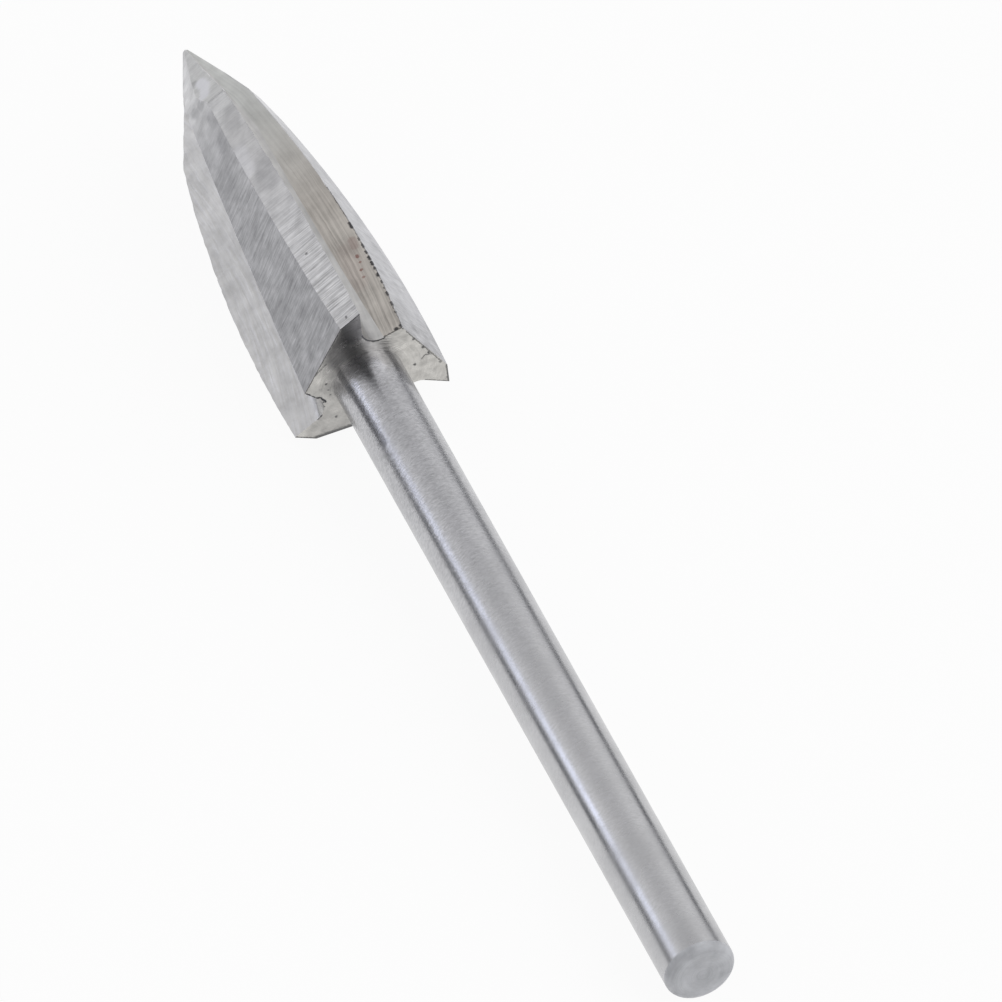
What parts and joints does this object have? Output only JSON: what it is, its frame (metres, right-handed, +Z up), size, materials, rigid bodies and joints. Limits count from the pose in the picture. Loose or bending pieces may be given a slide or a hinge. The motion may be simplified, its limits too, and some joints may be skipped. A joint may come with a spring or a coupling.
{
  "type": "rotary carving bit",
  "caption": "Rotary carving bit in one piece: a straight round shank behind a pointed, bullet-shaped head with ground cutting blades, for shaping wood by hand tool.",
  "frame": {"origin": "on the surface that the bit lies on, under the middle of its length and under its axis", "axes": "+X along the bit towards its tip, level with the surface, +Z up; the tool's own axis lies in the XZ plane and leans down to the shank's end"},
  "size_m": [0.0553, 0.0069, 0.0066],
  "materials": {
    "ground_steel": "ground and lightly polished bare steel"
  },
  "bodies": {
    "root": {"carving_bit": "ground_steel"}
  },
  "joints": []
}
